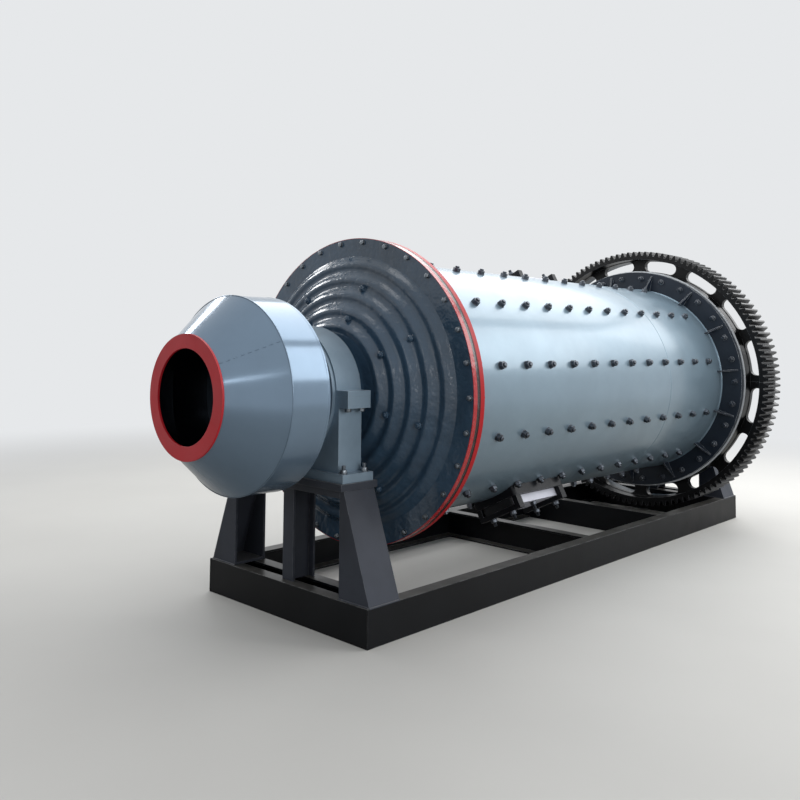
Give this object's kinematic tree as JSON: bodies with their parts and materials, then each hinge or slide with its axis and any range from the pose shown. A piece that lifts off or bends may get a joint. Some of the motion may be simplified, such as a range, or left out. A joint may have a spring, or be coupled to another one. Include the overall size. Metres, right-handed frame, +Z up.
{
  "type": "ball mill",
  "caption": "Trunnion-mounted ball mill on a welded skid: bolted rolled drum with waved cast heads, girth gear and cone feeder, turning in plain bearings.",
  "frame": {"origin": "on the floor, below the middle of the overall length, in the mill's middle plane", "axes": "+X along the mill from the feed end to the gear and discharge end, +Z up, the drum's axis parallel to X"},
  "size_m": [5.418, 2.2166, 2.3035],
  "materials": {
    "skid_paint": "satin black enamel",
    "pedestal_paint": "satin black enamel",
    "bearing_paint": "satin grey-blue enamel on casting",
    "bush_bronze": "turned bronze",
    "shell_paint": "satin blue-grey enamel",
    "feed_head_paint": "satin slate enamel on rough casting",
    "discharge_head_paint": "satin grey enamel on rough casting",
    "gear_paint": "satin black enamel on cast steel",
    "red_paint": "satin red enamel",
    "manhole_paint": "satin dark enamel",
    "cover_paint": "satin pale grey enamel"
  },
  "bodies": {
    "base": {"side_rail_near": "skid_paint", "side_rail_far": "skid_paint", "end_beam_feed": "skid_paint", "end_beam_discharge": "skid_paint", "cross_beam_feed": "skid_paint", "cross_beam_mid_a": "skid_paint", "cross_beam_mid_b": "skid_paint", "cross_beam_discharge": "skid_paint", "feed_leg_near": "pedestal_paint", "feed_leg_far": "pedestal_paint", "feed_post": "pedestal_paint", "feed_top_beam": "pedestal_paint", "discharge_leg_near": "pedestal_paint", "discharge_leg_far": "pedestal_paint", "discharge_post": "pedestal_paint", "discharge_top_beam": "pedestal_paint", "feed_bearing_base": "bearing_paint", "feed_bearing_cap": "bearing_paint", "feed_outer_cover": "bearing_paint", "feed_inner_cover": "bearing_paint", "discharge_bearing_base": "bearing_paint", "discharge_bearing_cap": "bearing_paint", "discharge_outer_cover": "bearing_paint", "discharge_inner_cover": "bearing_paint", "feed_bush": "bush_bronze", "discharge_bush": "bush_bronze"},
    "drum": {"shell": "shell_paint", "feeder_drum": "shell_paint", "feeder_back_plate": "shell_paint", "feed_head": "feed_head_paint", "discharge_head": "discharge_head_paint", "discharge_tube": "discharge_head_paint", "gear_half_upper": "gear_paint", "gear_half_lower": "gear_paint", "gear_shell_flange": "gear_paint", "feed_shell_flange": "red_paint", "feeder_mouth_ring": "red_paint", "manhole_frame_low": "manhole_paint", "manhole_clamps_low": "manhole_paint", "manhole_frame_high": "manhole_paint", "manhole_clamps_high": "manhole_paint", "manhole_cover_low": "cover_paint", "manhole_cover_high": "cover_paint"}
  },
  "joints": [
    {"name": "drum_spin", "type": "hinge", "parent": "base", "child": "drum", "pos_m": [0, 0, 1.195], "axis": [1, 0, 0], "continuous": true}
  ]
}
